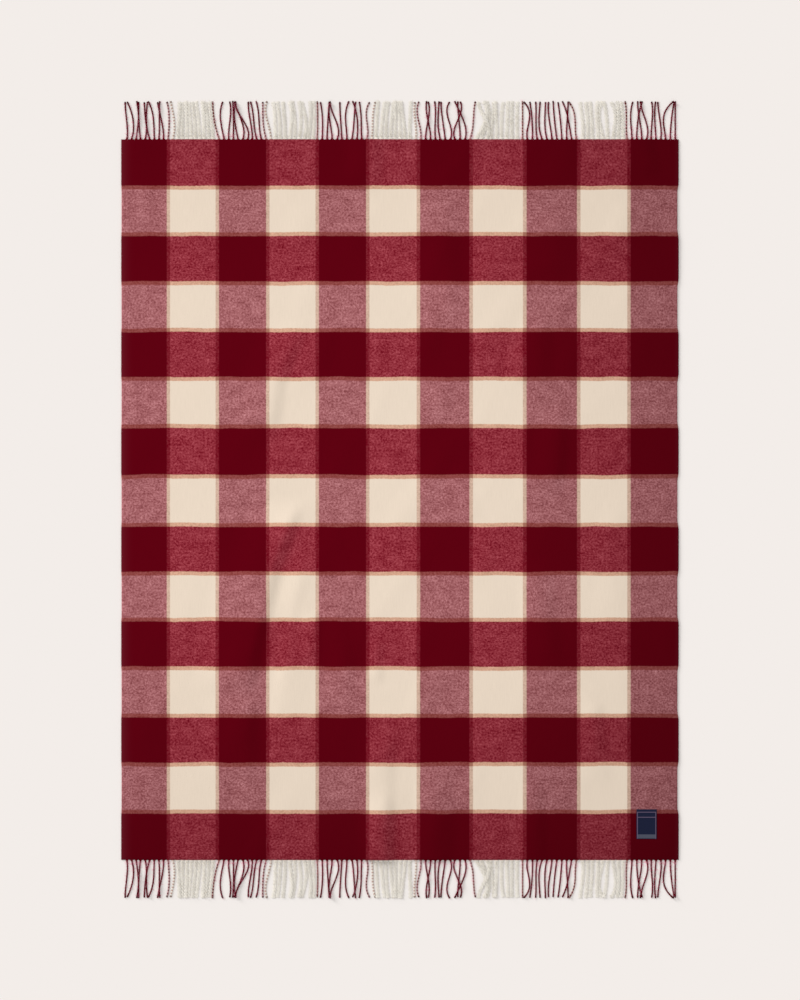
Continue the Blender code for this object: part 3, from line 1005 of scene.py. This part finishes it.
def make_fringe(name, end):
    """The fringe at one end of the cloth and its fibres, end being 1 at the top and -1 at the bottom."""
    chance = np.random.default_rng(FRINGE_SEED + end)
    lengths = FRINGE * (1 - LENGTH_SPREAD * chance.uniform(0, 1, len(yarns)))
    y = end * (LENGTH / 2 + lengths[:, None] * STATIONS)
    edge = cloth_lift(strand_x[:, 0], end * LENGTH / 2) + END_HEIGHT
    rise = np.clip(abs(y - y[:, :1]) / ROOT_RUN, 0, 1)
    z = edge[:, None] + (strand_height - edge[:, None]) * rise
    plies = ply_points(strand_x, y, z, chance.uniform(0, 2 * pi, len(yarns)))
    plies = plies.reshape(-1, *plies.shape[2:])
    plies[..., 2] = np.maximum(plies[..., 2], 0)
    plies = plies, ring_colours.reshape(-1, len(STATIONS), 3)
    fringe = new_yarn_piece(name + "_fringe", plies, (web_points(end, edge), web_colours))
    fibres = fibre_points(strand_x, y, z, chance), fibre_colours[:, None]
    return fringe, new_yarn_piece(name + "_fibres", fibres)


yarn_pieces = [*make_fringe("top", 1), *make_fringe("bottom", -1)]
top_fringe, top_fibres, bottom_fringe, bottom_fibres = yarn_pieces
for piece in yarn_pieces:
    piece.data.calc_loop_triangles()
    print(piece.name, len(piece.data.loop_triangles), "triangles")

# %% [markdown]
# ## The yarn's material
#
# The yarn is the same wool as the cloth, so it uses the same fibres at a finer scale, read from Object
# coordinates. Its colour comes from the plies' attribute.

# %% The yarn's material
YARN_FINENESS = 1600  # the cloth's fibres are sized in mm, and the yarn's are a little finer
YARN_NAP = (0.3, 0.4, 0.2)  # as for the cloth

yarn_material, tree, shader = new_material("twisted yarn")
own_place = add_node(tree, "TexCoord").outputs["Object"]
place = add_node(tree, "Mapping", {"Vector": own_place, "Scale": (YARN_FINENESS,) * 3}).outputs[0]
ply = add_node(tree, "Attribute", attribute_name="yarn").outputs["Color"]
finish_wool(tree, shader, place, ply, *YARN_NAP)
for piece in yarn_pieces:
    piece.data.materials.append(yarn_material)
print("yarn material:", len(tree.nodes), "nodes")

# %% [markdown]
# ## The label
#
# A small label of smooth ribbon is sewn flat near one corner. It is a sheet too: a fine grid laid on the
# cloth, pressed down a little along its stitched edges, and thickened. Its woven frame, rule and band are
# plain ornament.

# %% The label's mesh
label_low, label_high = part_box("label")
LABEL_WIDTH = label_high[0] - label_low[0]
LABEL_LENGTH = label_high[1] - label_low[1]
LABEL_X, LABEL_Y = (label_low[0] + label_high[0]) / 2, (label_low[1] + label_high[1]) / 2
LABEL_THICKNESS = 0.7 * MM
LABEL_GAP = 0.35 * MM  # between it and the cloth in its middle
SEAM_GAP = 0.15  # share of that gap at its edges
LABEL_CELLS = (44, 64)  # across and along
LABEL_RIM = (0, 0.4, 1.0)  # mm from an edge
LABEL_SHARES = (0.6, 0.9, 1)
PRESS = 4 * MM  # how far in from an edge the stitches press it down

label, flat_x, flat_y = new_sheet(
    "woven_label",
    lines_across(LABEL_WIDTH, LABEL_CELLS[0], LABEL_RIM),
    lines_across(LABEL_LENGTH, LABEL_CELLS[1], LABEL_RIM),
)
from_side = LABEL_WIDTH / 2 - abs(flat_x)
from_end = LABEL_LENGTH / 2 - abs(flat_y)
free = np.clip(np.minimum(from_side, from_end) / PRESS, 0, 1)
gap = LABEL_GAP * (SEAM_GAP + (1 - SEAM_GAP) * free * (2 - free))
x, y = flat_x + LABEL_X, flat_y + LABEL_Y
set_points(label.data, x, y, cloth_lift(x, y) + THICKNESS + gap)
set_flat_map(label.data, flat_x / LABEL_WIDTH + 0.5, flat_y / LABEL_LENGTH + 0.5)
shares = np.interp(np.minimum(from_side, from_end) / MM, LABEL_RIM, LABEL_SHARES)
thicken(label, LABEL_THICKNESS, np.round(shares, 2))
print(f"label {LABEL_WIDTH / MM:.1f} x {LABEL_LENGTH / MM:.1f} mm, {len(label.data.polygons)} faces")

# %% [markdown]
# ## The label's material
#
# The ribbon is navy with fine ribs across. Its ornament is drawn on the UV map in millimetres from the top
# left corner: a thin frame with a rule near the top, and a grey band at the foot. A soft-edged bar is the
# one form that all of them need.

# %% The label's material
NAVY = (0.008, 0.011, 0.033)
MAUVE_GREY = (0.12, 0.085, 0.14)
BAND_GREY = (0.065, 0.07, 0.10)
RIB = 0.9  # mm
FRAME_LEFT, FRAME_RIGHT, FRAME_TOP, RULE = 2.2, 44.8, 6.6, 18.4  # mm, the middles of the lines
LINE = 1.6  # mm
BAND_FROM, BAND_TO = 58.5, 68.0
FOOT = LABEL_LENGTH / MM + LINE  # just past the lower edge
THREAD = (1.2, 0.4)  # mm
RIB_RELIEF = 0.3  # height of the ribs by that of the threads
RIBBON_SHADE = (0.4, 0.8)  # how much more there is at the relief's top, and what there is at its foot
RIBBON_ROUGHNESS = (0.2, 0.5)  # in the same way
RIBBON_GLOSS = 0.08
RIBBON_BUMP = (0.5, 0.15)  # strength, and depth in mm


def bar(tree, value, low, high, softness=0.35):
    """1 between two values and 0 outside, with soft edges."""
    off = calculate(tree, "ABSOLUTE", calculate(tree, "SUBTRACT", value, (low + high) / 2))
    reach = (high - low) / 2
    inputs = {"Value": off, "From Min": reach + softness, "From Max": reach - softness}
    return add_node(tree, "MapRange", inputs, interpolation_type="SMOOTHSTEP").outputs[0]


label_material, tree, shader = new_material("navy ribbon")
flat_map = add_node(tree, "UVMap", uv_map="UVMap").outputs[0]
scale = (LABEL_WIDTH / MM, -LABEL_LENGTH / MM, 1)
place = add_node(tree, "Mapping", {"Vector": flat_map, "Scale": scale, "Location": (0, LABEL_LENGTH / MM, 0)})
across, down, _ = add_node(tree, "SeparateXYZ", {"Vector": place.outputs[0]}).outputs
below_top = bar(tree, down, FRAME_TOP - LINE / 2, FOOT)
inside = bar(tree, across, FRAME_LEFT - LINE / 2, FRAME_RIGHT + LINE / 2)
lines = None
for line, part in (
    (bar(tree, across, FRAME_LEFT - LINE / 2, FRAME_LEFT + LINE / 2), below_top),
    (bar(tree, across, FRAME_RIGHT - LINE / 2, FRAME_RIGHT + LINE / 2), below_top),
    (bar(tree, down, FRAME_TOP - LINE / 2, FRAME_TOP + LINE / 2), inside),
    (bar(tree, down, RULE - LINE / 2, RULE + LINE / 2), inside),
):
    line = calculate(tree, "MULTIPLY", line, part)
    lines = line if lines is None else calculate(tree, "MAXIMUM", lines, line)
band = calculate(tree, "MULTIPLY", bar(tree, down, BAND_FROM, BAND_TO), inside)
colour = mix_colours(tree, band, opaque(NAVY), opaque(BAND_GREY))
colour = mix_colours(tree, lines, colour, opaque(MAUVE_GREY))
rib = calculate(tree, "SINE", calculate(tree, "MULTIPLY", down, 2 * pi / RIB))
thread = noise(tree, place.outputs[0], THREAD, 2)
relief = calculate(tree, "MULTIPLY_ADD", rib, RIB_RELIEF, thread)
shade = calculate(tree, "MULTIPLY_ADD", relief, *RIBBON_SHADE)
feed(tree, shader.inputs["Base Color"], shaded(tree, colour, shade))
feed(tree, shader.inputs["Roughness"], calculate(tree, "MULTIPLY_ADD", thread, *RIBBON_ROUGHNESS))
raise_bump(tree, shader, relief, *RIBBON_BUMP)
shader.inputs["Specular IOR Level"].default_value = RIBBON_GLOSS
label.data.materials.clear()
label.data.materials.append(label_material)
print("label material:", len(tree.nodes), "nodes")

# %% [markdown]
# ## The label's stitches
#
# Small running stitches hold the label down on all four sides. One stitch is a ball drawn out long and
# sunk at its ends. It is modelled once, and then copied along the edges, each copy with points of its own.

# %% The label's stitches
STITCH = 2.2 * MM
STITCH_PITCH = 3.6 * MM
STITCH_THREAD = 0.25 * MM  # radius
SEAM = 1.2 * MM  # from the label's edge
STITCH_LIFT = 0.2 * MM  # of its middle over the label's face in its middle
THREAD_FINENESS = 4000  # lumps of thread a metre

bpy.ops.object.select_all(action="DESELECT")
bpy.ops.mesh.primitive_uv_sphere_add(segments=6, ring_count=6, radius=1)
stitch = bpy.context.object
ball = np.array([vertex.co[:] for vertex in stitch.data.vertices])
ball_faces = [list(face.vertices) for face in stitch.data.polygons]
bpy.data.objects.remove(stitch)
ball = ball[:, [2, 0, 1]] * (STITCH / 2, STITCH_THREAD, STITCH_THREAD)

half_width, half_length = LABEL_WIDTH / 2 - SEAM, LABEL_LENGTH / 2 - SEAM
seats = []
for half_run, half_side, turned in ((half_width, half_length, False), (half_length, half_width, True)):
    count = round(2 * half_run / STITCH_PITCH)
    for run in (np.arange(count) + 0.5) / count * 2 * half_run - half_run:
        for side in (-half_side, half_side):
            seats.append((side, run, turned) if turned else (run, side, turned))
points = []
for x, y, turned in seats:
    one = ball[:, [1, 0, 2]] if turned else ball
    x, y = x + LABEL_X, y + LABEL_Y
    points.append(one + (x, y, cloth_lift(x, y) + THICKNESS + LABEL_THICKNESS + STITCH_LIFT))
faces = [[corner + copy * len(ball) for corner in face] for copy in range(len(seats)) for face in ball_faces]
stitches = new_piece("label_stitches", np.concatenate(points), faces)
bpy.ops.object.select_all(action="DESELECT")
bpy.context.view_layer.objects.active = stitches
stitches.select_set(True)
bpy.ops.object.mode_set(mode="EDIT")
bpy.ops.mesh.select_all(action="SELECT")
bpy.ops.mesh.normals_make_consistent(inside=False)
bpy.ops.object.mode_set(mode="OBJECT")

thread_material, tree, shader = new_material("navy thread")
own_place = add_node(tree, "TexCoord").outputs["Object"]
place = add_node(tree, "Mapping", {"Vector": own_place, "Scale": (THREAD_FINENESS,) * 3}).outputs[0]
twist = noise(tree, place, (1, 1), 2)
tone = mix_colours(tree, twist, opaque(NAVY), opaque(BAND_GREY))
feed(tree, shader.inputs["Base Color"], tone)
feed(tree, shader.inputs["Roughness"], calculate(tree, "MULTIPLY_ADD", twist, *RIBBON_ROUGHNESS))
stitches.data.materials.append(thread_material)
print(len(seats), "stitches")

# %% [markdown]
# ## Joining the frame
#
# Nothing on a throw moves, so every piece rides on its one body. Where a piece stands for an imported solid,
# that solid is hidden.

# %% Joining the frame
for piece, slot, solid in (
    (cloth, "wool_cloth", "cloth"),
    (top_fringe, "fringe_yarn", "fringe_top"),
    (top_fibres, "fringe_yarn", None),
    (bottom_fringe, "fringe_yarn", "fringe_bottom"),
    (bottom_fibres, "fringe_yarn", None),
    (label, "woven_label", "label"),
    (stitches, "woven_label", None),
):
    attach(piece, BODY)
    if solid:
        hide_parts(solid)

# %% Sizes
boxes = {"cad": [list(corner) for corner in cad_box], "scene": [list(corner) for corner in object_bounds()]}
for name, corners in boxes.items():
    print(name, [[round(value, 4) for value in corner] for corner in corners])
